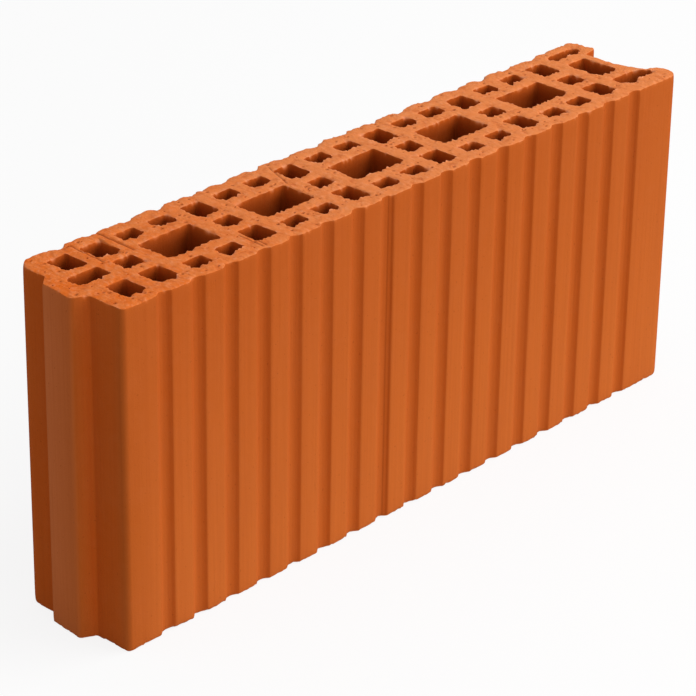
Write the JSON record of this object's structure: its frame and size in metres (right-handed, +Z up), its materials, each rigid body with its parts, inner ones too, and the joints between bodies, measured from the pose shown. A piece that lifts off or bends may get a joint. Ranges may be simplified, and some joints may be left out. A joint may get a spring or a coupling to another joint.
{
  "type": "perforated clay partition block",
  "caption": "Thin fired clay partition block with upright cells, plaster key grooves on both long faces, a tongue at one end and a socket at the other",
  "frame": {"origin": "middle of the lower cut face's bounding box, on the floor", "axes": "+X runs along the block from the tongue end to the socket end, +Y goes from the front long face to the back one, +Z is up along the cells"},
  "size_m": [0.5116, 0.088, 0.219],
  "materials": {
    "fired_clay": "matte, unglazed"
  },
  "bodies": {
    "root": {"clay_block": "fired_clay"}
  },
  "joints": []
}
